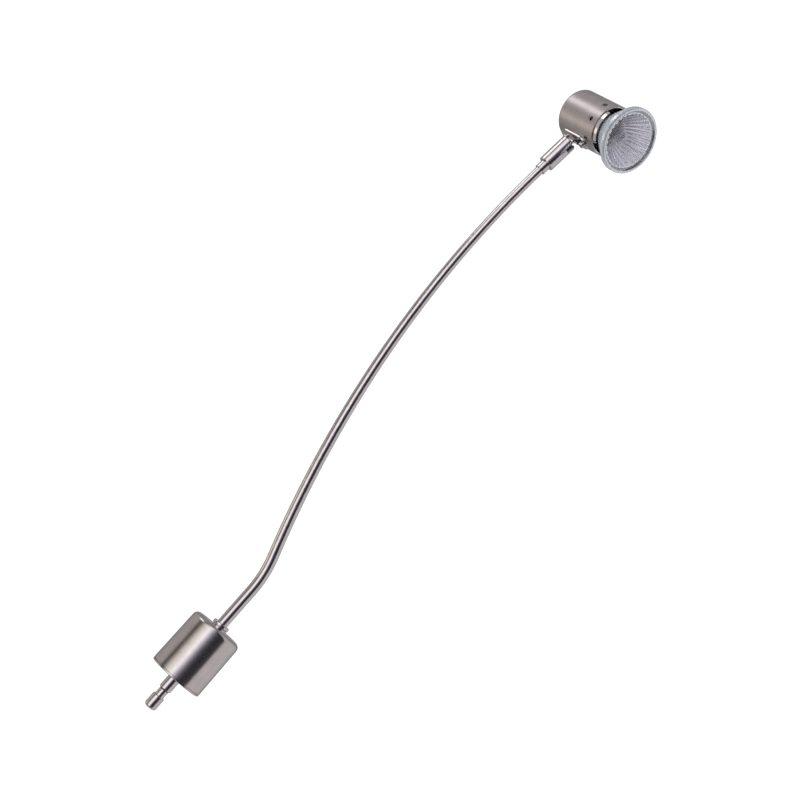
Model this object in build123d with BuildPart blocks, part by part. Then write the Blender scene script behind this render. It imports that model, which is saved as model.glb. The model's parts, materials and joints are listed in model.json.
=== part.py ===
"""Arm spotlight with a plug-in base, for museum and exhibition displays.

Frame: +Z up along the plug's axis, origin where the plug's shank meets the
underside of the base plate. The stem bends in the X-Z plane. Millimetres.
"""
import os
from math import cos, radians, sin

from build123d import *

os.makedirs("parts", exist_ok=True)

# ---------------------------------------------------------------- dimensions
# plug
PLUG_R = 4.85
NECK_R = 3.7
SHANK_LENGTH = 11.2
NECK_END = 17.3
PLUG_LENGTH = 28.0
PLUG_THREAD_R = 4.0
PLUG_ROD_R = 1.5
INSULATOR_R = 2.5
INSULATOR_FLANGE = 0.8
TIP_ROUND = 2.4
INSULATOR_TOP = 10.2
PLUG_THREAD_TOP = 9.2
ROD_TOP = 15.0
PLUG_WASHER_R = 6.8
PLUG_NUT_FLATS = 12.0
PLUG_NUT_THICK = 3.4
ROD_WASHER_R = 3.6
ROD_NUT_FLATS = 5.5
ROD_NUT_THICK = 2.4
WASHER = 0.8

# cup and base plate
CUP_R_BOTTOM = 21.3
CUP_R_TOP = 20.7
CUP_TOP = 46.5
CUP_BOTTOM = 1.7
CUP_SHOULDER = 4.2
CUP_FOOT_BEVEL = 0.2
CUP_WALL = 1.3
PLATE_R = 21.2
PLATE_RIM = 1.3
PLATE_BEVEL = 0.4
PLATE_SPIGOT_R = 19.5
PLATE_TOP = 4.0
FIT_GAP = 0.05

# chassis strap inside the cup
STRAP_THICK = 1.2
STRAP_WIDTH = 12.0
STRAP_HALF_SPAN = 14.1
STRAP_FOOT = 7.7
STRAP_TOP = CUP_TOP - CUP_WALL
BASE_SCREW_Y = 10.6
SCREW_R = 1.5

# terminal block on the strap
BLOCK_FRONT = 3.0
BLOCK_BACK = STRAP_HALF_SPAN - STRAP_THICK
BLOCK_LOW = 18.0
BLOCK_HIGH = 30.0
BLOCK_MID = (BLOCK_LOW + BLOCK_HIGH) / 2
BLOCK_WIDTH = 18.4
POLE_X = 4.6
TERMINAL_SCREW_R = 1.9

# collar bush and stem
COLLAR_R = 6.7
COLLAR_HEIGHT = 3.1
COLLAR_FOOT_R = 5.6
COLLAR_FOOT = 1.0
BUSH_R = 5.0
BUSH_BOTTOM = 38.0
BUSH_WASHER_R = 7.6
BUSH_NUT_FLATS = 13.0
BUSH_NUT_THICK = 3.2
STEM_R_BASE = 4.2
STEM_R_TIP = 3.35
STEM_BORE_R = 2.5
STEM_BOTTOM = 39.0
STEM_STRAIGHT = 35.9
STEM_BEND_RADIUS = 83.8
STEM_BEND_ANGLE = 19.7
STEM_ARC_RADIUS = 804.0
STEM_ARC_ANGLE = 24.7

# ferrule, sleeve and pivot, measured along the swivel axis from the stem's end
FERRULE_FLANGE_R = 4.4
FERRULE_FLANGE = 1.0
FERRULE_SOCKET = 4.5
NECK_LENGTH = 5.2
NECK_OUTER_R = 4.2
STUD_R = 3.95
STUD_LENGTH = 12.0
GROOVE_R = 3.1
GROOVE_WIDTH = 2.6
GROOVE_LOW = 3.4
RING_GROOVE_LOW = 8.4
RING_WIRE = 1.4
LEAD_R = 1.3
LEAD_BORE_R = 2.0
SLEEVE_R = 6.3
SLEEVE_LENGTH = 24.6
SLEEVE_TOP_BEVEL = 1.0
SLEEVE_GAP = 0.25
SLEEVE_BORE_R = 4.02
SLEEVE_BORE_DEPTH = 12.8
SLOT_WIDTH = 4.0
SLOT_DEPTH = 7.8
PIVOT_BELOW_END = 4.45
PIVOT_R = 1.25
TONGUE_THICK = 2.4
TONGUE_R = 2.9
WASHER_THICK = 0.55

# head, measured along the lamp's axis from the foot of the pivot
HEAD_OFFSET = 28.0
HEAD_PAN = 67.2
HEAD_TILT = -1.0
CAN_R = 19.5
CAN_WALL = 0.8
CAN_REAR = -17.0
CAN_FRONT = 24.3
CAN_EDGE = 3.2
VENT_R = 2.0
VENT_Z = 17.6
VENT_COUNT = 8
RING_R = 18.6
RING_WALL = 0.7
RING_BACK = 15.0
RING_FRONT = 28.0
NOTCH_DEG = 39.0
NOTCH_COUNT = 3
SADDLE_THICK = 1.0
SADDLE_REAR = -12.4
SADDLE_FRONT = 16.2
SADDLE_HALF = 6.5
BRACKET_SCREWS = (-6.9, 11.7)
BRACKET_SCREW_R = 1.25
BRACKET_HEAD_R = 2.4
NUT_FLATS = 5.0
NUT_THICK = 2.0
GROMMET_Z = 5.4
GROMMET_R = 1.9
GROMMET_INNER_R = 2.7
GROMMET_OUTER_R = 2.1
GROMMET_FLANGE = 0.7
HEAD_REACH = 10.0
HEAD_CUT = 15.0

# lamp, a 50 mm dichroic reflector with two pins
LAMP_FRONT = 45.1
LAMP_R = 25.0
LAMP_LIP = 4.4
LAMP_WALL = 1.6
LAMP_NECK_R = 7.4
LAMP_REAR = 17.6
PIN_R = 0.75
PIN_HALF_GAP = 2.65
PIN_END = -0.6
HOLDER_FRONT = 5.4
HOLDER_REAR = -10.4
LAMP_CONE_R = 22.9
LAMP_EDGE = 0.8
GLASS_SEAT_R = 22.6
GLASS_SEAT = 2.0
MIRROR_R = 21.2
GLASS_R = 22.5
GLASS_THICK = 1.6


# ---------------------------------------------------------------- helpers
def save(piece, label):
    """Name a finished piece and write its STEP file."""
    piece.label = label
    export_step(piece, f"parts/{label}.step")


def hex_nut(plane, flats, thick, bore_r, places):
    """Hexagon nuts with a plain bore, standing on a plane at each place."""
    with BuildPart() as nuts:
        with BuildSketch(plane):
            with Locations(*places):
                RegularPolygon(flats / 2, 6, major_radius=False)
                Circle(bore_r, mode=Mode.SUBTRACT)
        extrude(amount=thick)
    return nuts.part


def turned(plane, angle):
    """The plane turned about its own normal, by the right-hand rule."""
    x_dir = plane.x_dir * cos(radians(angle)) + plane.y_dir * sin(radians(angle))
    return Plane(origin=plane.origin, x_dir=x_dir, z_dir=plane.z_dir)


def ring(plane, outer_r, inner_r, thick):
    """A flat washer standing on a plane."""
    with BuildPart() as washer:
        with BuildSketch(plane):
            Circle(outer_r)
            Circle(inner_r, mode=Mode.SUBTRACT)
        extrude(amount=thick)
    return washer.part


# ---------------------------------------------------------------- the plug
with BuildPart() as plug_shank:
    with BuildSketch(Plane.XZ):
        with BuildLine():
            Polyline(
                (INSULATOR_R + FIT_GAP, -SHANK_LENGTH),
                (PLUG_R - 0.4, -SHANK_LENGTH),
                (PLUG_R, -SHANK_LENGTH + 0.4),
                (PLUG_R, 0),
                (PLUG_THREAD_R, 0),
                (PLUG_THREAD_R, PLUG_THREAD_TOP),
                (INSULATOR_R + FIT_GAP, PLUG_THREAD_TOP),
                close=True,
            )
        make_face()
    revolve(axis=Axis.Z)
save(plug_shank.part, "plug_shank")

with BuildPart() as plug_insulator:
    with BuildSketch(Plane.XY.offset(-SHANK_LENGTH - INSULATOR_FLANGE)):
        Circle(NECK_R)
    extrude(amount=INSULATOR_FLANGE)
    with BuildSketch(Plane.XY.offset(-SHANK_LENGTH)):
        Circle(INSULATOR_R)
    extrude(amount=SHANK_LENGTH + INSULATOR_TOP)
    with BuildSketch(Plane.XY.offset(-SHANK_LENGTH - INSULATOR_FLANGE)):
        Circle(PLUG_ROD_R + FIT_GAP)
    extrude(amount=40, mode=Mode.SUBTRACT)
save(plug_insulator.part, "plug_insulator")

with BuildPart() as plug_tip:
    with BuildSketch(Plane.XY.offset(-PLUG_LENGTH)):
        Circle(PLUG_R)
    extrude(amount=PLUG_LENGTH - NECK_END)
    fillet(plug_tip.edges().sort_by(Axis.Z)[0], TIP_ROUND)
    chamfer(plug_tip.edges().sort_by(Axis.Z)[-1], 0.4)
    with BuildSketch(Plane.XY.offset(-NECK_END)):
        Circle(NECK_R)
    extrude(amount=NECK_END - SHANK_LENGTH - INSULATOR_FLANGE)
    with BuildSketch(Plane.XY.offset(-SHANK_LENGTH - INSULATOR_FLANGE)):
        Circle(PLUG_ROD_R)
    extrude(amount=ROD_TOP + SHANK_LENGTH + INSULATOR_FLANGE)
save(plug_tip.part, "plug_tip")

PLUG_HOLE_R = PLUG_THREAD_R + FIT_GAP
ROD_HOLE_R = PLUG_ROD_R + FIT_GAP
plug_nut_plane = Plane.XY.offset(PLATE_TOP + WASHER)
rod_nut_plane = Plane.XY.offset(INSULATOR_TOP + WASHER)
save(ring(Plane.XY.offset(PLATE_TOP), PLUG_WASHER_R, PLUG_HOLE_R, WASHER), "plug_washer")
save(
    hex_nut(plug_nut_plane, PLUG_NUT_FLATS, PLUG_NUT_THICK, PLUG_HOLE_R, [(0, 0)]),
    "plug_locknut",
)
save(ring(Plane.XY.offset(INSULATOR_TOP), ROD_WASHER_R, ROD_HOLE_R, WASHER), "rod_washer")
save(hex_nut(rod_nut_plane, ROD_NUT_FLATS, ROD_NUT_THICK, ROD_HOLE_R, [(0, 0)]), "rod_nut")

# ---------------------------------------------------------------- base plate
SCREW_PLACES = [(0, BASE_SCREW_Y), (0, -BASE_SCREW_Y)]
SUNK_HEAD_R = 3.0
SUNK_HEAD_DEPTH = 1.5
BASE_SCREW_LENGTH = 8.0
SLOT_ACROSS = 0.6
with BuildPart() as base_plate:
    with BuildSketch():
        Circle(PLATE_R)
    extrude(amount=PLATE_RIM)
    chamfer(base_plate.edges().sort_by(Axis.Z)[0], PLATE_BEVEL)
    with BuildSketch(Plane.XY.offset(PLATE_RIM)):
        Circle(PLATE_SPIGOT_R)
    extrude(amount=PLATE_TOP - PLATE_RIM)
    with BuildSketch():
        Circle(PLUG_THREAD_R + FIT_GAP)
    extrude(amount=PLATE_TOP, mode=Mode.SUBTRACT)
    with BuildSketch():
        with Locations(*SCREW_PLACES):
            Circle(SCREW_R + 0.1)
    extrude(amount=PLATE_TOP, mode=Mode.SUBTRACT)
    with BuildSketch():
        with Locations(*SCREW_PLACES):
            Circle(SUNK_HEAD_R + 0.1)
    extrude(amount=SUNK_HEAD_DEPTH + 0.1, taper=45, mode=Mode.SUBTRACT)
save(base_plate.part, "base_plate")

with BuildPart() as base_plate_screws:
    with BuildSketch():
        with Locations(*SCREW_PLACES):
            Circle(SUNK_HEAD_R)
    extrude(amount=SUNK_HEAD_DEPTH, taper=45)
    with BuildSketch(Plane.XY.offset(SUNK_HEAD_DEPTH)):
        with Locations(*SCREW_PLACES):
            Circle(SCREW_R)
    extrude(amount=BASE_SCREW_LENGTH - SUNK_HEAD_DEPTH)
    for y in (BASE_SCREW_Y, -BASE_SCREW_Y):
        with BuildSketch():
            with Locations((0, y)):
                Rectangle(3.4, SLOT_ACROSS)
                Rectangle(SLOT_ACROSS, 3.4)
        extrude(amount=0.8, mode=Mode.SUBTRACT)
save(base_plate_screws.part, "base_plate_screws")

# ---------------------------------------------------------------- cup
with BuildPart() as base_cup:
    with BuildSketch(Plane.XZ):
        with BuildLine():
            Polyline(
                (0, CUP_BOTTOM),
                (CUP_R_BOTTOM, CUP_BOTTOM),
                (CUP_R_TOP, CUP_TOP),
                (0, CUP_TOP),
                close=True,
            )
        make_face()
    revolve(axis=Axis.Z)
    fillet(base_cup.edges().filter_by(GeomType.CIRCLE).sort_by(Axis.Z)[-1], CUP_SHOULDER)
    base_opening = base_cup.faces().sort_by(Axis.Z)[0]
    offset(amount=-CUP_WALL, openings=base_opening)
    chamfer(base_cup.edges().group_by(Axis.Z)[0].sort_by(SortBy.RADIUS)[-1], CUP_FOOT_BEVEL)
    with BuildSketch(Plane.XY.offset(CUP_TOP)):
        Circle(BUSH_R + FIT_GAP)
    extrude(amount=-10, mode=Mode.SUBTRACT)
save(base_cup.part, "base_cup")

# ---------------------------------------------------------------- chassis strap
with BuildPart() as chassis_strap:
    with BuildSketch(Plane.YZ.offset(-STRAP_WIDTH / 2)):
        with BuildLine():
            strap_line = FilletPolyline(
                (STRAP_FOOT, PLATE_TOP + STRAP_THICK / 2),
                (STRAP_HALF_SPAN - STRAP_THICK / 2, PLATE_TOP + STRAP_THICK / 2),
                (STRAP_HALF_SPAN - STRAP_THICK / 2, STRAP_TOP - STRAP_THICK / 2),
                (0, STRAP_TOP - STRAP_THICK / 2),
                radius=1.6,
            )
            offset(strap_line, STRAP_THICK / 2)
        make_face()
    extrude(amount=STRAP_WIDTH)
    mirror(about=Plane.XZ)
    with BuildSketch(Plane.XY.offset(STRAP_TOP)):
        Circle(BUSH_R + FIT_GAP)
    extrude(amount=-3, mode=Mode.SUBTRACT)
    with BuildSketch():
        with Locations(*SCREW_PLACES):
            Circle(SCREW_R + FIT_GAP)
    extrude(amount=8, mode=Mode.SUBTRACT)
    with BuildSketch(Plane.XZ.offset(-STRAP_HALF_SPAN - 1)):
        with Locations((0, BLOCK_MID)):
            Circle(SCREW_R + FIT_GAP)
    extrude(amount=4, mode=Mode.SUBTRACT)
save(chassis_strap.part, "chassis_strap")

# ---------------------------------------------------------------- collar bush
with BuildPart() as cup_collar:
    with BuildSketch(Plane.XY.offset(CUP_TOP + COLLAR_FOOT)):
        Circle(COLLAR_R)
    extrude(amount=COLLAR_HEIGHT)
    fillet(cup_collar.edges().filter_by(GeomType.CIRCLE), 1.0)
    with BuildSketch(Plane.XY.offset(CUP_TOP)):
        Circle(COLLAR_FOOT_R)
    extrude(amount=COLLAR_FOOT + 1)
    with BuildSketch(Plane.XY.offset(BUSH_BOTTOM)):
        Circle(BUSH_R)
    extrude(amount=CUP_TOP - BUSH_BOTTOM + 1)
    with BuildSketch(Plane.XY.offset(BUSH_BOTTOM)):
        Circle(STEM_R_BASE + FIT_GAP)
    extrude(amount=30, mode=Mode.SUBTRACT)
save(cup_collar.part, "cup_collar")

STRAP_UNDER = STRAP_TOP - STRAP_THICK
BUSH_HOLE_R = BUSH_R + FIT_GAP
bush_washer_plane = Plane.XY.offset(STRAP_UNDER - WASHER)
bush_nut_plane = bush_washer_plane.offset(-BUSH_NUT_THICK)
save(ring(bush_washer_plane, BUSH_WASHER_R, BUSH_HOLE_R, WASHER), "bush_washer")
save(
    hex_nut(bush_nut_plane, BUSH_NUT_FLATS, BUSH_NUT_THICK, BUSH_HOLE_R, [(0, 0)]),
    "bush_locknut",
)

# ---------------------------------------------------------------- terminal block
with BuildPart() as terminal_block:
    with BuildSketch(Plane.XZ.offset(-BLOCK_BACK)):
        with Locations((0, BLOCK_MID)):
            RectangleRounded(BLOCK_WIDTH, BLOCK_HIGH - BLOCK_LOW, 1.2)
    extrude(amount=BLOCK_BACK - BLOCK_FRONT)
    with BuildSketch(Plane.XZ.offset(-BLOCK_FRONT)):
        with Locations((-POLE_X, BLOCK_MID), (POLE_X, BLOCK_MID)):
            Circle(TERMINAL_SCREW_R + 0.1)
    extrude(amount=-4.0, mode=Mode.SUBTRACT)
    with BuildSketch(Plane.XZ.offset(-BLOCK_BACK)):
        with Locations((0, BLOCK_MID)):
            Circle(SCREW_R + FIT_GAP)
    extrude(amount=5.0, mode=Mode.SUBTRACT)
save(terminal_block.part, "terminal_block")

with BuildPart() as terminal_screws:
    with BuildSketch(Plane.XZ.offset(-BLOCK_FRONT - 0.6)):
        with Locations((-POLE_X, BLOCK_MID), (POLE_X, BLOCK_MID)):
            Circle(TERMINAL_SCREW_R)
    extrude(amount=-3.3)
    with BuildSketch(Plane.XZ.offset(-BLOCK_FRONT - 0.6)):
        with Locations((-POLE_X, BLOCK_MID), (POLE_X, BLOCK_MID)):
            Rectangle(5, SLOT_ACROSS)
    extrude(amount=-0.9, mode=Mode.SUBTRACT)
save(terminal_screws.part, "terminal_screws")

with BuildPart() as block_screw:
    with BuildSketch(Plane.XZ.offset(-STRAP_HALF_SPAN)):
        with Locations((0, BLOCK_MID)):
            Circle(2.6)
    extrude(amount=-1.6)
    with BuildSketch(Plane.XZ.offset(-STRAP_HALF_SPAN)):
        with Locations((0, BLOCK_MID)):
            Circle(SCREW_R)
    extrude(amount=5.6)
save(block_screw.part, "block_screw")

# ---------------------------------------------------------------- stem
stem_top = CUP_TOP + STEM_STRAIGHT
bend = radians(STEM_BEND_ANGLE)
bend_end = (-STEM_BEND_RADIUS * (1 - cos(bend)), stem_top + STEM_BEND_RADIUS * sin(bend))
bend_direction = (-sin(bend), cos(bend))
with BuildLine(Plane.XZ) as stem_bend_line:
    JernArc((0, stem_top), (0, 1), STEM_BEND_RADIUS, STEM_BEND_ANGLE)
with BuildLine(Plane.XZ) as stem_arc_line:
    JernArc(bend_end, bend_direction, STEM_ARC_RADIUS, -STEM_ARC_ANGLE)
stem_bend = stem_bend_line.edges()[0]
stem_arc = stem_arc_line.edges()[0]
stem_end = stem_arc @ 1
swivel_axis = stem_arc % 1
stem_lean = radians(STEM_ARC_ANGLE - STEM_BEND_ANGLE)
swivel_plane = Plane(origin=stem_end, x_dir=(cos(stem_lean), 0, -sin(stem_lean)), z_dir=swivel_axis)
bend_start = Plane(origin=(0, 0, stem_top), x_dir=(1, 0, 0), z_dir=(0, 0, 1))
arc_start = Plane(origin=stem_bend @ 1, x_dir=(0, 1, 0), z_dir=stem_bend % 1)
arc_end = Plane(origin=stem_end, x_dir=(0, 1, 0), z_dir=swivel_axis)

with BuildPart() as stem_tube:
    with BuildSketch(Plane.XY.offset(STEM_BOTTOM)):
        Circle(STEM_R_BASE)
    extrude(amount=stem_top - STEM_BOTTOM)
    with BuildSketch(bend_start):
        Circle(STEM_R_BASE)
    sweep(path=stem_bend)
    with BuildSketch(arc_start):
        Circle(STEM_R_BASE)
    with BuildSketch(arc_end):
        Circle(STEM_R_TIP)
    sweep(path=stem_arc, multisection=True)
    with BuildSketch(swivel_plane):
        Circle(STEM_R_TIP)
    extrude(amount=FERRULE_SOCKET - 0.1)
    with BuildSketch(Plane.XY.offset(STEM_BOTTOM)):
        Circle(STEM_BORE_R)
    extrude(amount=stem_top - STEM_BOTTOM, mode=Mode.SUBTRACT)
    with BuildSketch(swivel_plane):
        Circle(STEM_BORE_R)
    extrude(amount=FERRULE_SOCKET, mode=Mode.SUBTRACT)
    with BuildSketch(bend_start):
        Circle(STEM_BORE_R)
    sweep(path=stem_bend, mode=Mode.SUBTRACT)
    with BuildSketch(arc_start):
        Circle(STEM_BORE_R)
    sweep(path=stem_arc, mode=Mode.SUBTRACT)
save(stem_tube.part, "stem_tube")

# ---------------------------------------------------------------- leads in the base
LEAD_Y = 7.9
LEAD_ENTRY = 37.5
with BuildPart() as stem_lead:
    with BuildLine(Plane.YZ):
        lower_run = FilletPolyline(
            (LEAD_Y, BLOCK_HIGH),
            (LEAD_Y, BLOCK_HIGH + 3.5),
            (0, LEAD_ENTRY),
            (0, stem_top),
            radius=4.5,
        )
    with BuildSketch(Plane.XY.offset(BLOCK_HIGH)):
        with Locations((0, LEAD_Y)):
            Circle(LEAD_R)
    sweep(path=lower_run)
    with BuildSketch(bend_start):
        Circle(LEAD_R)
    sweep(path=stem_bend)
    with BuildSketch(arc_start):
        Circle(LEAD_R)
    sweep(path=stem_arc)
    with BuildSketch(swivel_plane):
        Circle(LEAD_R)
    extrude(amount=FERRULE_FLANGE + NECK_LENGTH + STUD_LENGTH - 0.4)
save(stem_lead.part, "stem_lead")

SUPPLY_R = 0.7
ROD_LEAD_HEIGHT = 14.1
ROD_LEAD_Y = 6.0
SHANK_LEAD_Y = 3.8
shank_lead_low = PLATE_TOP + WASHER + PLUG_NUT_THICK
with BuildPart() as supply_leads:
    with BuildLine(Plane.YZ):
        rod_run = FilletPolyline(
            (PLUG_ROD_R, ROD_LEAD_HEIGHT),
            (ROD_LEAD_Y, ROD_LEAD_HEIGHT),
            (ROD_LEAD_Y, BLOCK_LOW),
            radius=2.2,
        )
    with BuildSketch(Plane.XZ.offset(-PLUG_ROD_R)):
        with Locations((0, ROD_LEAD_HEIGHT)):
            Circle(SUPPLY_R)
    sweep(path=rod_run)
    with BuildSketch(Plane.XY.offset(shank_lead_low)):
        with Locations((-POLE_X, SHANK_LEAD_Y)):
            Circle(SUPPLY_R)
    extrude(amount=BLOCK_LOW - shank_lead_low)
save(supply_leads.part, "supply_leads")

# ---------------------------------------------------------------- ferrule
SLEEVE_LOW = FERRULE_FLANGE + NECK_LENGTH + SLEEVE_GAP
SLEEVE_TOP = SLEEVE_LOW + SLEEVE_LENGTH
STUD_LOW = FERRULE_FLANGE + NECK_LENGTH
SCREW_HEIGHT = STUD_LOW + GROOVE_LOW + GROOVE_WIDTH / 2
swivel_line = Axis(stem_end, swivel_axis)

with BuildPart() as stem_ferrule:
    with BuildSketch(swivel_plane):
        Circle(FERRULE_FLANGE_R)
    extrude(amount=FERRULE_FLANGE)
    with BuildSketch(swivel_plane):
        Circle(NECK_OUTER_R)
    extrude(amount=STUD_LOW)
    with BuildSketch(swivel_plane.offset(STUD_LOW)):
        Circle(STUD_R)
    extrude(amount=STUD_LENGTH)
    with BuildSketch(swivel_plane.offset(STUD_LOW + GROOVE_LOW)):
        Circle(STUD_R + 1)
        Circle(GROOVE_R, mode=Mode.SUBTRACT)
    extrude(amount=GROOVE_WIDTH, mode=Mode.SUBTRACT)
    with BuildSketch(swivel_plane.offset(STUD_LOW + RING_GROOVE_LOW)):
        Circle(STUD_R + 1)
        Circle(STUD_R - RING_WIRE + 0.15, mode=Mode.SUBTRACT)
    extrude(amount=RING_WIRE + 0.2, mode=Mode.SUBTRACT)
    with BuildSketch(swivel_plane):
        Circle(LEAD_BORE_R)
    extrude(amount=STUD_LOW + STUD_LENGTH, mode=Mode.SUBTRACT)
    with BuildSketch(swivel_plane):
        Circle(STEM_R_TIP + FIT_GAP)
    extrude(amount=FERRULE_SOCKET, mode=Mode.SUBTRACT)
save(stem_ferrule.part, "stem_ferrule")

O_RING_HEIGHT = STUD_LOW + RING_GROOVE_LOW + RING_WIRE / 2 + 0.1
with BuildPart() as friction_ring:
    with BuildSketch(Plane(origin=stem_end, x_dir=swivel_plane.x_dir, z_dir=-swivel_plane.y_dir)):
        with Locations((STUD_R - RING_WIRE / 2 + 0.06, O_RING_HEIGHT)):
            Circle(RING_WIRE / 2 - 0.1)
    revolve(axis=swivel_line)
save(friction_ring.part, "friction_ring")

# ---------------------------------------------------------------- swivel sleeve
sleeve_plane = turned(swivel_plane, -HEAD_PAN)
pivot_height = SLEEVE_TOP - PIVOT_BELOW_END
pivot_point = stem_end + swivel_axis * pivot_height
cross_plane = Plane(origin=pivot_point, x_dir=sleeve_plane.x_dir, z_dir=sleeve_plane.y_dir)
screw_plane = Plane(
    origin=stem_end + swivel_axis * SCREW_HEIGHT,
    x_dir=sleeve_plane.z_dir,
    z_dir=-sleeve_plane.x_dir,
)

with BuildPart() as swivel_sleeve:
    with BuildSketch(sleeve_plane.offset(SLEEVE_LOW)):
        Circle(SLEEVE_R)
    extrude(amount=SLEEVE_LENGTH)
    sleeve_rims = swivel_sleeve.edges().filter_by(GeomType.CIRCLE).sort_by(swivel_line)
    chamfer(sleeve_rims[0], 0.4)
    chamfer(sleeve_rims[-1], SLEEVE_TOP_BEVEL)
    with BuildSketch(sleeve_plane.offset(SLEEVE_LOW)):
        Circle(SLEEVE_BORE_R)
    extrude(amount=SLEEVE_BORE_DEPTH, mode=Mode.SUBTRACT)
    with BuildSketch(sleeve_plane.offset(SLEEVE_LOW)):
        Circle(LEAD_BORE_R)
    extrude(amount=SLEEVE_LENGTH, mode=Mode.SUBTRACT)
    with BuildSketch(sleeve_plane.offset(SLEEVE_TOP)):
        Rectangle(4 * SLEEVE_R, SLOT_WIDTH)
    extrude(amount=-SLOT_DEPTH, mode=Mode.SUBTRACT)
    with BuildSketch(cross_plane.offset(-2 * SLEEVE_R)):
        Circle(PIVOT_R + 0.03)
    extrude(amount=4 * SLEEVE_R, mode=Mode.SUBTRACT)
    with BuildSketch(screw_plane):
        Circle(SCREW_R + FIT_GAP)
    extrude(amount=SLEEVE_R + 1, mode=Mode.SUBTRACT)
save(swivel_sleeve.part, "swivel_sleeve")

with BuildPart() as pivot_pin:
    with BuildSketch(cross_plane.offset(0.1 - SLEEVE_R)):
        Circle(PIVOT_R)
    extrude(amount=2 * (SLEEVE_R - 0.1))
save(pivot_pin.part, "pivot_pin")

with BuildPart() as tilt_washers:
    for start in (SLOT_WIDTH / 2 - WASHER_THICK, -SLOT_WIDTH / 2):
        with BuildSketch(cross_plane.offset(start)):
            Circle(TONGUE_R - 0.1)
            Circle(PIVOT_R + FIT_GAP, mode=Mode.SUBTRACT)
        extrude(amount=WASHER_THICK)
save(tilt_washers.part, "tilt_washers")

with BuildPart() as sleeve_screw:
    with BuildSketch(screw_plane.offset(STUD_R + 0.15)):
        Circle(SCREW_R)
    extrude(amount=SLEEVE_R - STUD_R - 0.35)
    with BuildSketch(screw_plane.offset(GROOVE_R + 0.25)):
        Circle(1.0)
    extrude(amount=1.0)
    with BuildSketch(screw_plane.offset(SLEEVE_R)):
        RegularPolygon(0.75, 6, major_radius=False)
    extrude(amount=-1.3, mode=Mode.SUBTRACT)
save(sleeve_screw.part, "sleeve_screw")

with BuildPart() as sleeve_lead:
    with BuildSketch(sleeve_plane.offset(STUD_LOW + STUD_LENGTH + 0.4)):
        Circle(LEAD_R)
    extrude(amount=SLEEVE_TOP - SLOT_DEPTH - STUD_LOW - STUD_LENGTH - 0.6)
save(sleeve_lead.part, "sleeve_lead")

# ---------------------------------------------------------------- head planes
# cross_plane's local x points where the lamp shines and its local y points at the bracket
tilted_plane = turned(cross_plane, -HEAD_TILT)
lamp_origin = pivot_point - tilted_plane.y_dir * HEAD_OFFSET
lamp_plane = Plane(origin=lamp_origin, x_dir=tilted_plane.y_dir, z_dir=tilted_plane.x_dir)
lamp_axis = Axis(lamp_origin, lamp_plane.z_dir)
# local x of this plane is the distance from the lamp's axis and local y runs along it
profile_plane = Plane(origin=lamp_origin, x_dir=lamp_plane.x_dir, z_dir=-lamp_plane.y_dir)


def radial_plane(angle, height, radius):
    """Plane facing outwards from the lamp's axis, with its local x along that axis."""
    spoke = turned(lamp_plane, angle)
    place = spoke.origin + spoke.z_dir * height + spoke.x_dir * radius
    return Plane(origin=place, x_dir=spoke.z_dir, z_dir=spoke.x_dir)


# ---------------------------------------------------------------- bracket
SADDLE_INNER = CAN_R + FIT_GAP
SADDLE_OUTER = SADDLE_INNER + SADDLE_THICK
with BuildPart() as head_bracket:
    with BuildSketch(radial_plane(0, (SADDLE_REAR + SADDLE_FRONT) / 2, HEAD_REACH)):
        SlotOverall(SADDLE_FRONT - SADDLE_REAR, 2 * SADDLE_HALF)
    extrude(amount=HEAD_CUT)
    with BuildSketch(lamp_plane.offset(SADDLE_REAR - 1)):
        Circle(SADDLE_OUTER)
        Circle(SADDLE_INNER, mode=Mode.SUBTRACT)
    extrude(amount=SADDLE_FRONT - SADDLE_REAR + 2, mode=Mode.INTERSECT)
    with BuildSketch(Plane(origin=lamp_origin, x_dir=lamp_plane.x_dir, z_dir=lamp_plane.y_dir)):
        with Locations(((HEAD_OFFSET + SADDLE_INNER + 0.4) / 2, 0)):
            Rectangle(HEAD_OFFSET - SADDLE_INNER - 0.4, 2 * TONGUE_R)
        with Locations((HEAD_OFFSET, 0)):
            Circle(TONGUE_R)
            Circle(PIVOT_R + FIT_GAP, mode=Mode.SUBTRACT)
    extrude(amount=TONGUE_THICK / 2, both=True)
    for z in BRACKET_SCREWS:
        with BuildSketch(radial_plane(0, z, HEAD_REACH)):
            Circle(BRACKET_SCREW_R + FIT_GAP)
        extrude(amount=HEAD_CUT, mode=Mode.SUBTRACT)
    with BuildSketch(radial_plane(0, GROMMET_Z, HEAD_REACH)):
        Circle(GROMMET_R + FIT_GAP)
    extrude(amount=HEAD_CUT, mode=Mode.SUBTRACT)
save(head_bracket.part, "head_bracket")

with BuildPart() as bracket_screws:
    for z in BRACKET_SCREWS:
        with BuildSketch(radial_plane(0, z, SADDLE_OUTER)):
            Circle(BRACKET_HEAD_R)
        extrude(amount=1.6)
        with BuildSketch(radial_plane(0, z, SADDLE_OUTER - 6.2)):
            Circle(BRACKET_SCREW_R)
        extrude(amount=6.4)
        with BuildSketch(radial_plane(0, z, SADDLE_OUTER + 1.6)):
            Rectangle(3.0, 0.6)
            Rectangle(0.6, 3.0)
        extrude(amount=-0.9, mode=Mode.SUBTRACT)
save(bracket_screws.part, "bracket_screws")

CLAMP_OUTER = CAN_R - CAN_WALL - 0.6
CLAMP_THICK = 0.8
with BuildPart() as bracket_nuts:
    for z, top in zip(BRACKET_SCREWS, (CLAMP_OUTER - CLAMP_THICK, CLAMP_OUTER + 0.3)):
        with BuildSketch(radial_plane(0, z, top)):
            RegularPolygon(NUT_FLATS / 2, 6, major_radius=False)
            Circle(BRACKET_SCREW_R + FIT_GAP, mode=Mode.SUBTRACT)
        extrude(amount=-NUT_THICK)
save(bracket_nuts.part, "bracket_nuts")

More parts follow.
